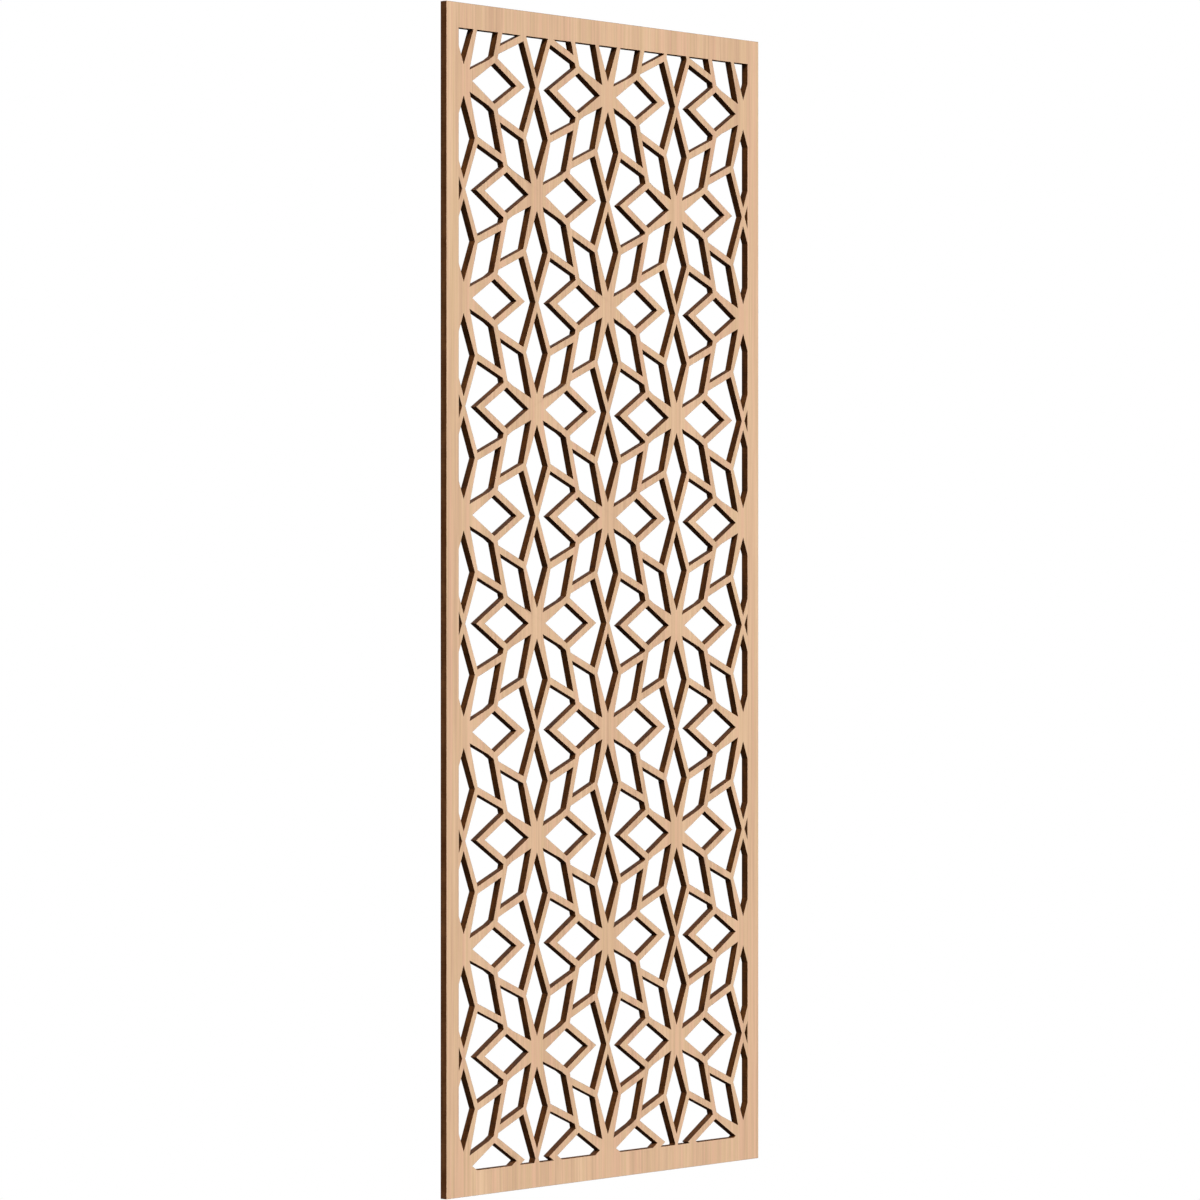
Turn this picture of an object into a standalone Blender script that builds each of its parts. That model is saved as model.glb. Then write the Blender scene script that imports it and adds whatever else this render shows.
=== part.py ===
"""A fretwork wall panel: one thin board, sawn right through in a lattice of eight-armed stars.

The panel stands upright in the X and Z directions. Its front faces -Y, its back lies in the
plane y = 0, and the origin is on the back, in the middle of the top border.
"""

import bmesh
import bpy
from mathutils import Vector
from math import cos, radians, sin

# The board
PANEL_WIDTH = 0.5937
PANEL_HEIGHT = 1.4827
BOARD_THICKNESS = 0.0100
SIDE_BORDER = 0.0222
END_BORDER = 0.0315

# The places of the stars: every second crossing of this grid is a star's centre
COLUMN_SPACING = 0.1330
ROW_SPACING = 0.1350
FIRST_STAR_DROP = 0.0957
RIGHT_COLUMNS_DROP = 0.0036

# The diamond to the left and right of each star's centre, and the strap around it
DIAMOND_CENTRE = 0.0553
DIAMOND_HALF_LENGTH = 0.0397
DIAMOND_HALF_HEIGHT = 0.0254
DIAMOND_STRAP = 0.0086

# The tall petal above and below each star's centre
PETAL_CENTRE = 0.0711
PETAL_HALF_HEIGHT = 0.0511
PETAL_HALF_WIDTH = 0.0198

# The four leaning petals, each from its inner corner
LEANING_INNER_ACROSS = 0.0109
LEANING_INNER_UP = 0.0141
LEANING_LENGTH = 0.0562
LEANING_ANGLE = radians(75.2)
LEANING_END_ANGLE = radians(23.5)

# The straps between the holes of neighbouring stars
SPLITTING_STRAP = 0.0080
RIB_STRAP = 0.0088
CROSSING_STRAP = 0.0074

# How far the saws run out past the faces that they cut
SAW_OVERRUN = 0.0040

WOOD_COLOUR = (0.73, 0.47, 0.29, 1.0)
WOOD_ROUGHNESS = 0.55


def direction(angle):
    """The unit vector at this angle above +X."""
    return Vector((cos(angle), sin(angle)))


def left_of(vector):
    """The unit vector a quarter turn to the left of this one."""
    return Vector((-vector.y, vector.x)).normalized()


def clipped(polygon, point, inwards):
    """The part of a convex polygon on the inner side of the line through a point."""
    kept = []
    for index, end in enumerate(polygon):
        start = polygon[index - 1]
        start_side = (start - point).dot(inwards)
        end_side = (end - point).dot(inwards)
        if start_side * end_side < 0:
            kept.append(start + (end - start) * start_side / (start_side - end_side))
        if end_side >= 0:
            kept.append(end)
    return kept


def rhombus(centre, half_width, half_height):
    """The four corners of an upright rhombus."""
    across = Vector((half_width, 0))
    up = Vector((0, half_height))
    return [centre - across, centre - up, centre + across, centre + up]


def mirrored(polygon, centre, across, up):
    """A polygon drawn for the upper right quarter, turned over into another quarter of a star."""
    return [centre + Vector((point.x * across, point.y * up)) for point in polygon]


def column_drop(column):
    """How far below the regular grid a column of stars sits."""
    if column > 0:
        return RIGHT_COLUMNS_DROP
    return 0.0


def star_centre(column, row):
    """The centre of a star, from its column and its row, counted from the middle and the top."""
    first_height = END_BORDER / 2 - FIRST_STAR_DROP
    return Vector((column * COLUMN_SPACING, first_height - row * ROW_SPACING - column_drop(column)))


def leaning_petal(to_neighbour):
    """The leaning petal towards the neighbouring star, from the inner corner to the splitting strap."""
    inner = Vector((LEANING_INNER_ACROSS, LEANING_INNER_UP))
    along = direction(LEANING_ANGLE)
    outwards = direction(LEANING_END_ANGLE)
    outer = inner + along * LEANING_LENGTH
    reach = outwards * to_neighbour.length
    polygon = [inner, inner + reach, outer + reach, outer]
    middle = to_neighbour / 2
    away = left_of(along)
    return clipped(polygon, middle + away * SPLITTING_STRAP / 2, away)


def arrow_field(to_upper, to_lower):
    """The open field beyond a diamond, before the strap around the diamond is left standing.

    It is the region between the splitting straps of its own star and the ribs and crossing
    straps of the two neighbouring stars, found by clipping a rectangle at each strap's edge.
    """
    reach = to_upper.x
    polygon = [Vector((0, to_lower.y)), Vector((reach, to_lower.y)),
               Vector((reach, to_upper.y)), Vector((0, to_upper.y))]
    for to_neighbour, up in ((to_upper, 1), (to_lower, -1)):
        mirror = Vector((1, up))
        along = direction(LEANING_ANGLE)
        away = -left_of(along)
        splitter_edge = to_neighbour / 2 + away * mirror * SPLITTING_STRAP / 2
        polygon = clipped(polygon, splitter_edge, away * mirror)

        rib_end = Vector((LEANING_INNER_ACROSS, LEANING_INNER_UP)) + along * LEANING_LENGTH
        rib_away = left_of(direction(LEANING_END_ANGLE))
        rib_edge = rib_end + rib_away * RIB_STRAP
        polygon = clipped(polygon, to_neighbour - rib_edge * mirror, -rib_away * mirror)

        petal_tip = Vector((0, PETAL_CENTRE + PETAL_HALF_HEIGHT))
        petal_away = left_of(Vector((-PETAL_HALF_WIDTH, PETAL_HALF_HEIGHT)))
        crossing_edge = petal_tip - petal_away * CROSSING_STRAP
        polygon = clipped(polygon, to_neighbour - crossing_edge * mirror, petal_away * mirror)
    return polygon


def strap_around(half_length, half_height, strap):
    """The half length and half height of a rhombus grown outwards by a strap's width."""
    side = Vector((half_length, half_height)).length
    growth = 1 + strap * side / (half_length * half_height)
    return half_length * growth, half_height * growth


def star_grid():
    """Every star whose holes can reach into the panel, as a column and a row."""
    columns = int(PANEL_WIDTH / 2 / COLUMN_SPACING) + 2
    rows = int(PANEL_HEIGHT / ROW_SPACING) + 2
    for column in range(-columns, columns + 1):
        for row in range(-2, rows + 1):
            if (column + row) % 2 == 0:
                yield column, row


def star_openings(column, row):
    """The leaning petals, tall petals and arrow fields of one star, as polygons."""
    centre = star_centre(column, row)
    polygons = []
    for up in (1, -1):
        polygons.append(rhombus(centre + Vector((0, up * PETAL_CENTRE)), PETAL_HALF_WIDTH, PETAL_HALF_HEIGHT))
    for across in (1, -1):
        to_upper = star_centre(column + across, row - 1) - centre
        to_lower = star_centre(column + across, row + 1) - centre
        to_upper.x *= across
        to_lower.x *= across
        polygons.append(mirrored(arrow_field(to_upper, to_lower), centre, across, 1))
        polygons.append(mirrored(leaning_petal(to_upper), centre, across, 1))
        to_lower.y *= -1
        polygons.append(mirrored(leaning_petal(to_lower), centre, across, -1))
    return polygons


def diamonds(column, row, half_length, half_height):
    """The two diamonds of one star, as polygons."""
    centre = star_centre(column, row)
    return [rhombus(centre + Vector((across * DIAMOND_CENTRE, 0)), half_length, half_height)
            for across in (1, -1)]


def add_prism(mesh, polygon, front, back):
    """A closed prism with this outline in X and Z, from y = front to y = back."""
    near = [mesh.verts.new((point.x, front, point.y)) for point in polygon]
    far = [mesh.verts.new((point.x, back, point.y)) for point in polygon]
    mesh.faces.new(near)
    mesh.faces.new(list(reversed(far)))
    for index, corner in enumerate(near):
        mesh.faces.new((near[index - 1], far[index - 1], far[index], corner))


def prisms_object(name, polygons, overrun):
    """An object of one prism for each polygon, past the board's faces by the overrun."""
    mesh = bmesh.new()
    for polygon in polygons:
        if len(polygon) > 2:
            add_prism(mesh, polygon, -BOARD_THICKNESS - overrun, overrun)
    bmesh.ops.recalc_face_normals(mesh, faces=mesh.faces)
    data = bpy.data.meshes.new(name)
    mesh.to_mesh(data)
    mesh.free()
    made = bpy.data.objects.new(name, data)
    bpy.context.collection.objects.link(made)
    return made


def rectangle(left, right, low, high):
    """The four corners of an upright rectangle."""
    return [Vector((left, low)), Vector((right, low)), Vector((right, high)), Vector((left, high))]


def add_boolean(target, operation, tool):
    """A live Boolean that works on the target with the tool, which is then only a guide."""
    boolean = target.modifiers.new(tool.name, "BOOLEAN")
    boolean.operation = operation
    boolean.solver = "EXACT"
    boolean.object = tool
    tool.hide_render = True
    tool.display_type = "WIRE"


def wood_material():
    """Pale bare wood."""
    material = bpy.data.materials.new("pale_wood")
    material.use_nodes = True
    shader = material.node_tree.nodes["Principled BSDF"]
    shader.inputs["Base Color"].default_value = WOOD_COLOUR
    shader.inputs["Roughness"].default_value = WOOD_ROUGHNESS
    shader.inputs["Metallic"].default_value = 0.0
    return material


def main():
    for leftover in list(bpy.data.objects):
        bpy.data.objects.remove(leftover)

    half_width = PANEL_WIDTH / 2
    top_edge = END_BORDER / 2
    low_edge = top_edge - PANEL_HEIGHT
    strap_length, strap_height = strap_around(DIAMOND_HALF_LENGTH, DIAMOND_HALF_HEIGHT, DIAMOND_STRAP)
    openings = []
    holes = []
    straps = []
    for column, row in star_grid():
        openings += star_openings(column, row)
        holes += diamonds(column, row, DIAMOND_HALF_LENGTH, DIAMOND_HALF_HEIGHT)
        straps += diamonds(column, row, strap_length, strap_height)

    window = prisms_object("window_guide", [rectangle(SIDE_BORDER - half_width, half_width - SIDE_BORDER,
                                                      low_edge + END_BORDER, top_edge - END_BORDER)],
                           SAW_OVERRUN)
    opening_saw = prisms_object("opening_saw", openings, 2 * SAW_OVERRUN)
    diamond_saw = prisms_object("diamond_saw", holes, 2 * SAW_OVERRUN)
    strap_guide = prisms_object("strap_guide", straps, 3 * SAW_OVERRUN)
    panel = prisms_object("fretwork_panel", [rectangle(-half_width, half_width, low_edge, top_edge)], 0.0)
    panel.data.materials.append(wood_material())

    add_boolean(opening_saw, "DIFFERENCE", strap_guide)
    add_boolean(opening_saw, "INTERSECT", window)
    add_boolean(diamond_saw, "INTERSECT", window)
    add_boolean(panel, "DIFFERENCE", opening_saw)
    add_boolean(panel, "DIFFERENCE", diamond_saw)


if __name__ == "__main__":
    main()
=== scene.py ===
"""The finished look of a fretwork wall panel: pale wood with upright grain, and dark sawn walls."""

from math import cos, pi, radians, sin

import bpy
import numpy as np
from mathutils import Matrix, Vector


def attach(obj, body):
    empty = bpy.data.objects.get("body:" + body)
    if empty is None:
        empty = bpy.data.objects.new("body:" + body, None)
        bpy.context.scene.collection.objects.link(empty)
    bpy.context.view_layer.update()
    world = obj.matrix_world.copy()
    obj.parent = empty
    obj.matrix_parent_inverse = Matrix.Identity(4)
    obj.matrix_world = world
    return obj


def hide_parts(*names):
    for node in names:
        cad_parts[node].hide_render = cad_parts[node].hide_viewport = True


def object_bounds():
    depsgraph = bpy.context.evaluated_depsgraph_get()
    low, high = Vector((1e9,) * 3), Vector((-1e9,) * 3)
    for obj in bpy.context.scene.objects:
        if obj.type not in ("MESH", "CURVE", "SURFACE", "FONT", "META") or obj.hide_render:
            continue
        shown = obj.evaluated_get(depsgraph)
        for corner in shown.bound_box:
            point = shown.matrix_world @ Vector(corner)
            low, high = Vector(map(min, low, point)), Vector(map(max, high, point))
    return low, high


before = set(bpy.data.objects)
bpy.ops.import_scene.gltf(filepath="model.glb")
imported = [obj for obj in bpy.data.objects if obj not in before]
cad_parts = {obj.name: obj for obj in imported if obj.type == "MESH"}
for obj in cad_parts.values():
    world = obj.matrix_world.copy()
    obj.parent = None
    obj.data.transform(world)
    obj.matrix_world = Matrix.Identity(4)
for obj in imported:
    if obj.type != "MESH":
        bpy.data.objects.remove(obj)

bl_info = {
    "name": "Fretwork Wall Panel",
    "version": (1, 0, 0),
    "blender": (4, 5, 0),
    "location": "3D View > Sidebar > Fretwork",
    "description": "Finishes a sawn wooden fretwork panel and sets it on a plain studio stage",
    "category": "Object",
}

NODE = "fretwork_panel"
CAD_LOW, CAD_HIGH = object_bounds()

# Where the camera stands for the picture: the distance is measured to the panel's front left edge
VIEW_TURN = radians(47.6)
VIEW_DISTANCE = 5.903
VIEW_OFFSET = 0.190
SENSOR_WIDTH = 36.0
LENS = 143.2

# Points of the CAD mesh that are closer than this are one point
MERGE_STEP = 0.00001

# The least value of one plus the cosine in a mitre, which holds back the needle sharp corners
SHARPEST_MITRE = 0.25

# The board's material slots: the two faces, the walls of the openings and the outer edge. The outer
# edge's slot holds a lighter copy of the walls' scorched wood, which is painted light: the outside edge
# is drawn brighter because no wall stands in front of it to shade it
FACE_SLOT = 0
WALL_SLOT = 1
PAINTED_LIGHT_OUTER_SLOT = 2

# How often each pattern of the wood changes in a metre, along X, Y and Z
BROAD_BANDS = (38.0, 38.0, 1.1)
STREAKS = (300.0, 60.0, 4.0)
FINE_LINES = (650.0, 200.0, 9.0)
ROSY_STREAKS = (150.0, 40.0, 2.0)
GOLDEN_STREAKS = (330.0, 50.0, 2.6)
PORES = (2200.0, 900.0, 60.0)
BURN_BLOTCHES = (45.0, 120.0, 45.0)
SAW_LINES = (900.0, 25.0, 900.0)

# How much each pattern counts in the tone of the wood, and where the tone's three colours stand
BROAD_SHARE = 0.30
STREAK_SHARE = 0.40
LINE_SHARE = 0.30
WOOD_STOPS = (0.38, 0.50, 0.62)

# From where to where a pattern's mask rises, and how strongly its colour shows
ROSY_RISE = (0.48, 0.62)
ROSY_STRENGTH = 0.42
GOLDEN_RISE = (0.50, 0.62)
GOLDEN_STRENGTH = 0.36
PORE_RISE = (0.60, 0.74)
PORE_STRENGTH = 0.16

# The height of the lines, the streaks and the pores in the bump of the planed faces
LINE_HEIGHT = 0.5
STREAK_HEIGHT = 0.3
PORE_DEPTH = 0.5
GRAIN_BUMP = 0.22
BUMP_DISTANCE = 0.0003

FACE_ROUGHNESS = 0.46
FACE_ROUGHNESS_CHANGE = 0.16
FACE_SPECULAR = 0.32

BLOTCH_SHARE = 0.6
SAW_SHARE = 0.4
BURN_STOPS = (0.36, 0.52, 0.66)
SAW_BUMP = 0.35
WALL_ROUGHNESS = 0.68
WALL_ROUGHNESS_CHANGE = 0.2
WALL_SPECULAR = 0.05

# The stage: a sheet of paper that shows white, bounces less light, and reaches past every view
WHITE = (1.0, 1.0, 1.0)
PAPER_BOUNCE = (0.16, 0.16, 0.16)
PAPER_REACH = 30.0
BACKDROP_STRENGTH = 1.0
LAMP_SOFTNESS = radians(25.0)
KEY_FROM = (-0.42, -0.62, 0.66)
FRONT_FROM = (0.0, -1.0, 0.1)
BACK_FROM = (0.3, 1.0, 0.4)

# The sockets of a colour Mix node
MIX_FACTOR = 0
MIX_FIRST = 6
MIX_SECOND = 7
MIX_RESULT = 2


class Socket:
    """A shader value that adds, subtracts and multiplies by adding Math nodes."""

    def __init__(self, nodes, link):
        self.nodes = nodes
        self.link = link

    def _math(self, operation, first, second):
        return self.nodes.node("ShaderNodeMath", {"operation": operation}, {0: first, 1: second})

    def __add__(self, other):
        return self._math("ADD", self, other)

    __radd__ = __add__

    def __mul__(self, other):
        return self._math("MULTIPLY", self, other)

    __rmul__ = __mul__

    def __sub__(self, other):
        return self._math("SUBTRACT", self, other)

    def __rsub__(self, other):
        return self._math("SUBTRACT", other, self)

    def rising(self, low, high):
        """This value carried from low..high to 0..1, and held there."""
        return self.nodes.node("ShaderNodeMapRange", {"clamp": True}, {0: self, 1: low, 2: high})


class Nodes:
    """The node tree of a material or a world, and the one method that adds nodes to it."""

    def __init__(self, owner):
        owner.use_nodes = True
        self.tree = owner.node_tree

    def fill(self, socket, value):
        """Links a Socket, or sets a plain value."""
        if isinstance(value, Socket):
            self.tree.links.new(value.link, socket)
        else:
            socket.default_value = value

    def node(self, kind, settings, inputs, output=0):
        """Adds a node, makes its settings, fills its sockets and gives one output as a Socket."""
        made = self.tree.nodes.new(kind)
        for key, value in settings.items():
            if key == "stops":
                set_stops(made.color_ramp.elements, value)
            else:
                setattr(made, key, value)
        for key, value in inputs.items():
            self.fill(made.inputs[key], value)
        return Socket(self, made.outputs[output])

    def noise(self, scale, detail, roughness=0.5, distortion=0.0):
        """Noise in Object coordinates in metres, stretched along the axes, about 0.5 in the middle."""
        at = self.node("ShaderNodeTexCoord", {}, {}, "Object")
        stretched = self.node("ShaderNodeMapping", {}, {"Vector": at, "Scale": scale})
        return self.node("ShaderNodeTexNoise", {"noise_dimensions": "3D"},
                         {"Vector": stretched, "Scale": 1.0, "Detail": detail,
                          "Roughness": roughness, "Distortion": distortion})

    def tones(self, factor, places, colours):
        """A colour ramp with a colour at each place."""
        return self.node("ShaderNodeValToRGB", {"stops": tuple(zip(places, colours))}, {0: factor})

    def mix(self, factor, first, second):
        """Two colours mixed by a factor."""
        return self.node("ShaderNodeMix", {"data_type": "RGBA"},
                         {MIX_FACTOR: factor, MIX_FIRST: first, MIX_SECOND: second}, MIX_RESULT)

    def bump(self, height, strength):
        """A bump from a height map."""
        return self.node("ShaderNodeBump", {},
                         {"Height": height, "Strength": strength, "Distance": BUMP_DISTANCE})


class Finish(Nodes):
    """A new material with a Principled shader."""

    def __init__(self, name):
        self.material = bpy.data.materials.new(name)
        super().__init__(self.material)

    def surface(self, **inputs):
        """Fills the Principled shader's sockets by name, with underscores for spaces."""
        principled = self.tree.nodes["Principled BSDF"]
        for key, value in inputs.items():
            self.fill(principled.inputs[key.replace("_", " ")], value)


def set_stops(elements, stops):
    """Gives a new ramp its stops, each a place and a colour."""
    while len(elements) < len(stops):
        elements.new(0.5)
    for element, (place, colour) in zip(elements, stops):
        element.position = place
        element.color = opaque(colour)


def opaque(colour):
    """A colour with full alpha."""
    return (*colour, 1.0)


def linear(red, green, blue):
    """A colour given as the eye's 0 to 255 values, as the shader's linear values.

    This is the usual rule for screens: a straight line near black and a power of 2.4 above it.
    """
    values = np.array([red, green, blue]) / 255.0
    return tuple(float(value) for value in np.where(values <= 0.04045, values / 12.92,
                                                    ((values + 0.055) / 1.055) ** 2.4))


def planed_wood(settings):
    """Pale planed wood: streaks along Z a few millimetres wide, finer lines in them and short pores."""
    finish = Finish("pale_wood_face")
    broad = finish.noise(BROAD_BANDS, detail=2.0, distortion=0.15)
    streaks = finish.noise(STREAKS, detail=4.0, roughness=0.6, distortion=0.1)
    lines = finish.noise(FINE_LINES, detail=3.0, roughness=0.6)
    pores = finish.noise(PORES, detail=2.0).rising(*PORE_RISE)
    rosy = finish.noise(ROSY_STREAKS, detail=3.0).rising(*ROSY_RISE)
    golden = finish.noise(GOLDEN_STREAKS, detail=3.0).rising(*GOLDEN_RISE)
    tone = broad * BROAD_SHARE + streaks * STREAK_SHARE + lines * LINE_SHARE
    wood = finish.tones(tone, WOOD_STOPS, (settings.streak_colour, settings.wood_colour,
                                           settings.light_colour))
    wood = finish.mix(rosy * ROSY_STRENGTH, wood, opaque(settings.rosy_colour))
    wood = finish.mix(golden * GOLDEN_STRENGTH, wood, opaque(settings.golden_colour))
    wood = finish.mix(pores * PORE_STRENGTH, wood, opaque(settings.pore_colour))
    height = lines * LINE_HEIGHT + streaks * STREAK_HEIGHT - pores * PORE_DEPTH
    finish.surface(Base_Color=wood, Roughness=lines * FACE_ROUGHNESS_CHANGE + FACE_ROUGHNESS,
                   Specular_IOR_Level=FACE_SPECULAR, Normal=finish.bump(height, GRAIN_BUMP))
    return finish.material


def sawn_wood(name, dark, middle, light):
    """Scorched sawn wood: dark brown, with the saw's fine lines across the board's thickness. Its copy
    on the outer edge gets lighter colours, which are painted light.
    """
    finish = Finish(name)
    blotches = finish.noise(BURN_BLOTCHES, detail=3.0)
    saw_lines = finish.noise(SAW_LINES, detail=2.0, roughness=0.6)
    burn = blotches * BLOTCH_SHARE + saw_lines * SAW_SHARE
    colour = finish.tones(burn, BURN_STOPS, (dark, middle, light))
    finish.surface(Base_Color=colour, Roughness=blotches * WALL_ROUGHNESS_CHANGE + WALL_ROUGHNESS,
                   Specular_IOR_Level=WALL_SPECULAR, Normal=finish.bump(saw_lines, SAW_BUMP))
    return finish.material


def studio_paper():
    """The floor's paper: an even white where it is looked at, and a duller white that bounces light."""
    material = bpy.data.materials.new("studio_paper")
    paper = Nodes(material)
    paper.tree.nodes.remove(paper.tree.nodes["Principled BSDF"])
    bounce = paper.node("ShaderNodeBsdfDiffuse", {}, {"Color": opaque(PAPER_BOUNCE)})
    glow = paper.node("ShaderNodeEmission", {}, {"Color": opaque(WHITE), "Strength": BACKDROP_STRENGTH})
    looked_at = paper.node("ShaderNodeLightPath", {}, {}, "Is Camera Ray")
    mixed = paper.node("ShaderNodeMixShader", {}, {0: looked_at, 1: bounce, 2: glow})
    paper.fill(paper.tree.nodes["Material Output"].inputs["Surface"], mixed)
    return material


def studio_world(ambient):
    """Even light all round, at one strength for the picture's background and another for the board."""
    world = bpy.data.worlds.new("studio_sky")
    sky = Nodes(world)
    looked_at = sky.node("ShaderNodeLightPath", {}, {}, "Is Camera Ray")
    strength = sky.node("ShaderNodeMapRange", {},
                        {"Value": looked_at, "To Min": ambient, "To Max": BACKDROP_STRENGTH})
    background = sky.tree.nodes["Background"]
    sky.fill(background.inputs["Color"], opaque(WHITE))
    sky.fill(background.inputs["Strength"], strength)
    return world


def front_triangles(node):
    """The corners in X and Z of the CAD's front face, as an array of merged points and triangles.

    The CAD mesh is loose triangles, so equal points are merged by rounding them to a hundredth of a
    millimetre and keeping each place once.
    """
    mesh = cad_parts[node].data
    points = np.empty(len(mesh.vertices) * 3, dtype=np.float32)
    mesh.vertices.foreach_get("co", points)
    points = points.reshape(-1, 3).astype(float)
    mesh.calc_loop_triangles()
    corners = np.empty(len(mesh.loop_triangles) * 3, dtype=np.int32)
    mesh.loop_triangles.foreach_get("vertices", corners)
    corners = corners.reshape(-1, 3)
    front = (points[corners][:, :, 1] < CAD_LOW.y + MERGE_STEP).all(axis=1)
    flat = points[corners[front]][:, :, (0, 2)].reshape(-1, 2)
    keys = np.round(flat / MERGE_STEP).astype(np.int64)
    first, inverse = np.unique(keys, axis=0, return_index=True, return_inverse=True)[1:]
    return flat[first], inverse.reshape(-1, 3)


def upward(points, triangles):
    """The triangles with their corners in anticlockwise order, seen with X to the right and Z up.

    Twice a triangle's area, from the cross product of two sides, says which way round it is.
    """
    first, second, third = (points[triangles[:, corner]] for corner in range(3))
    one, two = second - first, third - first
    area = one[:, 0] * two[:, 1] - one[:, 1] * two[:, 0]
    return np.where((area > 0)[:, None], triangles, triangles[:, ::-1])[np.abs(area) > 0]


def rim_edges(triangles, count):
    """The edges that only one triangle has, as pairs with the wood on their left."""
    starts = triangles.reshape(-1)
    ends = np.roll(triangles, -1, axis=1).reshape(-1)
    alone = ~np.isin(starts * count + ends, ends * count + starts)
    return starts[alone], ends[alone]


def corner_insets(points, starts, ends):
    """For each rim point, how far it moves for one unit of inset into the wood, as a mitre.

    The mitre is the sum of the inward unit normals of the two edges, divided by one plus the cosine
    of the angle between them, so both edges move by one unit.
    """
    along = points[ends] - points[starts]
    along /= np.linalg.norm(along, axis=1)[:, None]
    inward = np.stack((-along[:, 1], along[:, 0]), axis=1)
    leaving = np.zeros_like(points)
    arriving = np.zeros_like(points)
    leaving[starts] = inward
    arriving[ends] = inward
    cosine = (leaving * arriving).sum(axis=1)
    return (leaving + arriving) / np.maximum(1.0 + cosine, SHARPEST_MITRE)[:, None]


def wall_profile(thickness, arris, steps):
    """The section of a sawn edge as insets and depths: a rounded arris, a straight wall and an arris.

    Along a quarter turn, the inset is the radius times one minus the sine, and the depth is the
    radius times one minus the cosine. The back's arris is the same curve, from the other side.
    """
    angles = np.linspace(0.0, pi / 2, steps)
    round_inset = arris * (1.0 - np.sin(angles))
    round_depth = arris * (1.0 - np.cos(angles))
    insets = np.concatenate((round_inset, round_inset[::-1]))
    depths = np.concatenate((round_depth, thickness - round_depth[::-1]))
    return insets, depths


def new_mesh_object(name, vertices, faces, materials):
    """A mesh object at the origin, with these materials."""
    mesh = bpy.data.meshes.new(name)
    mesh.from_pydata(vertices, [], faces)
    for material in materials:
        mesh.materials.append(material)
    made = bpy.data.objects.new(name, mesh)
    bpy.context.collection.objects.link(made)
    return made


def build_board(settings):
    """The sawn board: the wall profile carried round every opening and the outside, between two faces.

    Ring by ring, each rim point moves by its mitre times the ring's inset and sits at the ring's
    depth. Walls join a rim edge of one ring to the same edge of the next.
    """
    points, triangles = front_triangles(NODE)
    triangles = upward(points, triangles)
    starts, ends = rim_edges(triangles, len(points))
    mitres = corner_insets(points, starts, ends)
    insets, depths = wall_profile(CAD_HIGH.y - CAD_LOW.y, settings.arris, settings.arris_steps)
    flat = points[None, :, :] + mitres[None, :, :] * insets[:, None, None]
    height = np.broadcast_to((CAD_LOW.y + depths)[:, None], flat.shape[:2])
    vertices = np.stack((flat[:, :, 0], height, flat[:, :, 1]), axis=2).reshape(-1, 3)

    count = len(points)
    rings = np.arange(len(insets) - 1)[:, None] * count
    walls = np.stack((starts + rings, starts + rings + count, ends + rings + count, ends + rings),
                     axis=2).reshape(-1, 4)
    back = triangles[:, ::-1] + (len(insets) - 1) * count

    outside = np.isclose(points, (CAD_LOW.x, CAD_LOW.z), atol=MERGE_STEP).any(axis=1)
    outside |= np.isclose(points, (CAD_HIGH.x, CAD_HIGH.z), atol=MERGE_STEP).any(axis=1)
    # Walls on the outside take the outer edge's slot, whose lighter colours are painted light
    wall_slots = np.tile(np.where(outside[starts], PAINTED_LIGHT_OUTER_SLOT, WALL_SLOT), len(rings))
    face_slots = np.full(len(triangles), FACE_SLOT)
    slots = np.concatenate((face_slots, wall_slots, face_slots))
    materials = (planed_wood(settings),
                 sawn_wood("scorched_sawn_wall", settings.char_colour, settings.wall_colour,
                           settings.warm_wall_colour),
                 # The outer edge's copy has lighter colours than the inner walls: painted light, for
                 # the edge being lit more than the walls inside the openings
                 sawn_wood("scorched_outer_edge_painted_light", settings.wall_colour, settings.painted_light_outer_colour,
                           settings.painted_light_pale_outer_colour))
    board = new_mesh_object("fretwork_board", vertices.tolist(),
                            triangles.tolist() + walls.tolist() + back.tolist(), materials)
    board.data.polygons.foreach_set("material_index", slots.astype(np.int32))
    board.data.update()
    return board


def floor_sheet(height):
    """The stage's floor: one flat sheet at this height."""
    reach = PAPER_REACH
    corners = [(-reach, -reach, height), (reach, -reach, height), (reach, reach, height),
               (-reach, reach, height)]
    new_mesh_object("studio_floor", corners, [(0, 1, 2, 3)], (studio_paper(),))


def aim(thing, place, target):
    """Puts a camera or a light at a place, looking at a target."""
    looking = (target - place).to_track_quat("-Z", "Y").to_matrix().to_4x4()
    thing.matrix_world = Matrix.Translation(place) @ looking


def soft_lamp(name, direction, share):
    """A far, broad lamp. Its share is how bright it alone makes a white sheet that faces it."""
    data = bpy.data.lights.new(name, "SUN")
    data.angle = LAMP_SOFTNESS
    data.energy = share * pi
    lamp = bpy.data.objects.new(name, data)
    bpy.context.collection.objects.link(lamp)
    aim(lamp, Vector(direction), Vector())


def picture_camera():
    """The camera: it looks level, turned from the panel's front, at the panel's middle height."""
    forward = Vector((sin(VIEW_TURN), cos(VIEW_TURN), 0.0))
    right = Vector((cos(VIEW_TURN), -sin(VIEW_TURN), 0.0))
    near_edge = Vector((CAD_LOW.x, CAD_LOW.y, (CAD_LOW.z + CAD_HIGH.z) / 2))
    place = near_edge + right * VIEW_OFFSET - forward * VIEW_DISTANCE
    data = bpy.data.cameras.new("picture_camera")
    data.sensor_width = SENSOR_WIDTH
    data.lens = LENS
    camera = bpy.data.objects.new("picture_camera", data)
    bpy.context.collection.objects.link(camera)
    aim(camera, place, place + forward)
    bpy.context.scene.camera = camera


def colour_setting(name, description, *eye_colour):
    """A colour that a user can change, with its default as the eye's 0 to 255 values."""
    return bpy.props.FloatVectorProperty(name=name, description=description, subtype="COLOR", size=3,
                                         default=linear(*eye_colour), min=0.0, max=1.0)


def light_setting(name, description, share):
    """A strength of light that a user can change."""
    return bpy.props.FloatProperty(name=name, description=description, default=share, min=0.0, max=5.0)


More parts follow.
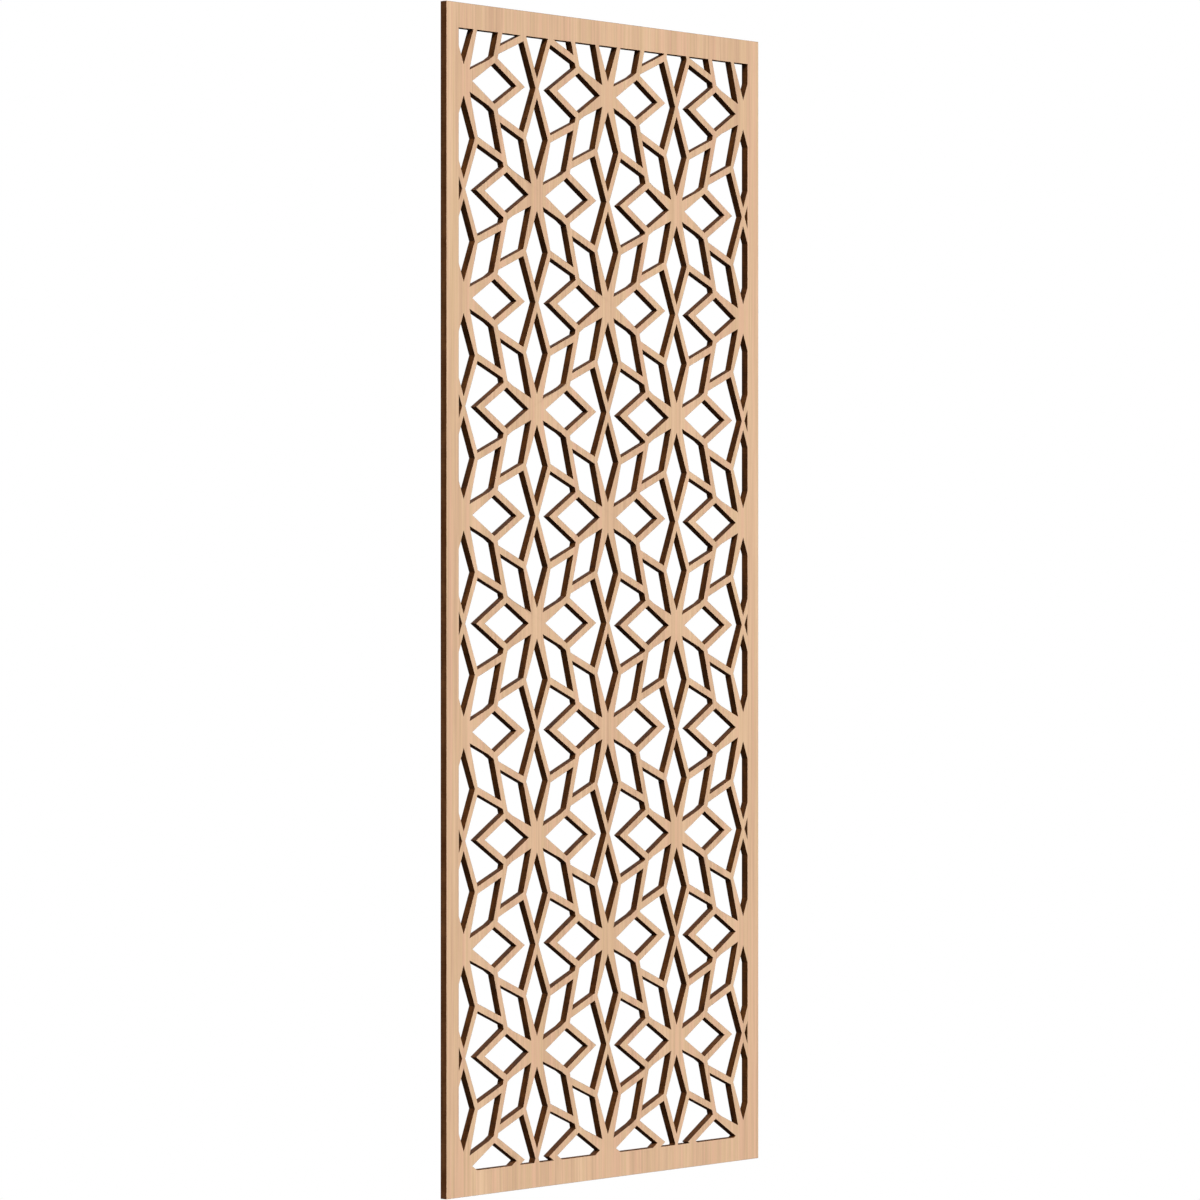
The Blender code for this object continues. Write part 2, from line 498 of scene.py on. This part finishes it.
class PanelSettings(bpy.types.PropertyGroup):
    """The sizes and colours of the board's finish."""

    arris: bpy.props.FloatProperty(
        name="Arris", description="Radius of the worn edge where a face meets a sawn wall",
        default=0.0003, min=0.00005, max=0.001, unit="LENGTH")
    arris_steps: bpy.props.IntProperty(
        name="Arris steps", description="Points along the rounded arris", default=3, min=2, max=8)
    wood_colour: colour_setting("Wood", "Middle tone of the wood", 218, 181, 147)
    streak_colour: colour_setting("Streaks", "Darker streaks of the grain", 202, 163, 133)
    light_colour: colour_setting("Light streaks", "Lighter streaks of the grain", 231, 196, 160)
    rosy_colour: colour_setting("Rosy streaks", "Broad pinker streaks", 228, 180, 152)
    golden_colour: colour_setting("Golden streaks", "Narrow yellower streaks", 216, 185, 141)
    pore_colour: colour_setting("Pores", "Short pores in the grain", 176, 128, 88)
    wall_colour: colour_setting("Sawn wall", "Middle tone of the scorched walls", 80, 46, 20)
    char_colour: colour_setting("Char", "The darkest scorch", 56, 32, 15)
    warm_wall_colour: colour_setting("Warm scorch", "The lightest scorch", 99, 59, 26)
    # The outer edge's two colours are lighter than the sawn walls' colours: painted light, standing for
    # more light falling on the outside edge than inside the openings
    painted_light_outer_colour: colour_setting("Outer edge", "Middle tone of the scorched outer edge", 94, 59, 33)
    painted_light_pale_outer_colour: colour_setting("Light outer edge", "Lightest tone of the edge", 108, 69, 39)


class StageSettings(bpy.types.PropertyGroup):
    """The floor and the light."""

    floor_drop: bpy.props.FloatProperty(
        name="Floor drop", description="How far below the panel the floor lies",
        default=0.10, min=0.0, max=2.0, unit="LENGTH")
    ambient: light_setting("Ambient", "Strength of the even light all round", 0.10)
    key_share: light_setting("Key lamp", "Strength of the lamp above, to the left", 1.24)
    front_share: light_setting("Front lamp", "Strength of the lamp in front", 0.15)
    back_share: light_setting("Back lamp", "Strength of the lamp behind", 0.8)


class FRETWORK_OT_board(bpy.types.Operator):
    """Builds the sawn board with its grain and its scorched walls"""

    bl_idname = "fretwork.board"
    bl_label = "Sawn board"

    def execute(self, context):
        board = build_board(context.scene.fretwork_panel)
        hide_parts(NODE)
        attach(board, "root")
        return {"FINISHED"}


class FRETWORK_OT_stage(bpy.types.Operator):
    """Sets out the camera, the pale floor and the soft studio light"""

    bl_idname = "fretwork.stage"
    bl_label = "Studio stage"

    def execute(self, context):
        settings = context.scene.fretwork_stage
        picture_camera()
        floor_sheet(CAD_LOW.z - settings.floor_drop)
        context.scene.world = studio_world(settings.ambient)
        context.scene.view_settings.view_transform = "Standard"
        soft_lamp("key_lamp", KEY_FROM, settings.key_share)
        soft_lamp("front_lamp", FRONT_FROM, settings.front_share)
        soft_lamp("back_lamp", BACK_FROM, settings.back_share)
        return {"FINISHED"}


class FRETWORK_PT_panel(bpy.types.Panel):
    """Lists the settings and the operators"""

    bl_idname = "FRETWORK_PT_panel"
    bl_label = "Fretwork wall panel"
    bl_space_type = "VIEW_3D"
    bl_region_type = "UI"
    bl_category = "Fretwork"

    def draw(self, context):
        layout = self.layout
        for group in (context.scene.fretwork_panel, context.scene.fretwork_stage):
            column = layout.column()
            for name in group.__annotations__:
                column.prop(group, name)
        layout.operator(FRETWORK_OT_board.bl_idname)
        layout.operator(FRETWORK_OT_stage.bl_idname)


CLASSES = (PanelSettings, StageSettings, FRETWORK_OT_board, FRETWORK_OT_stage, FRETWORK_PT_panel)


def register():
    """Adds the classes and their settings to Blender."""
    for made in CLASSES:
        bpy.utils.register_class(made)
    bpy.types.Scene.fretwork_panel = bpy.props.PointerProperty(type=PanelSettings)
    bpy.types.Scene.fretwork_stage = bpy.props.PointerProperty(type=StageSettings)


def unregister():
    """Takes them away again."""
    del bpy.types.Scene.fretwork_stage
    del bpy.types.Scene.fretwork_panel
    for made in reversed(CLASSES):
        bpy.utils.unregister_class(made)


def main():
    """Builds the panel and its stage."""
    register()
    bpy.ops.fretwork.board()
    bpy.ops.fretwork.stage()


if __name__ == "__main__":
    main()
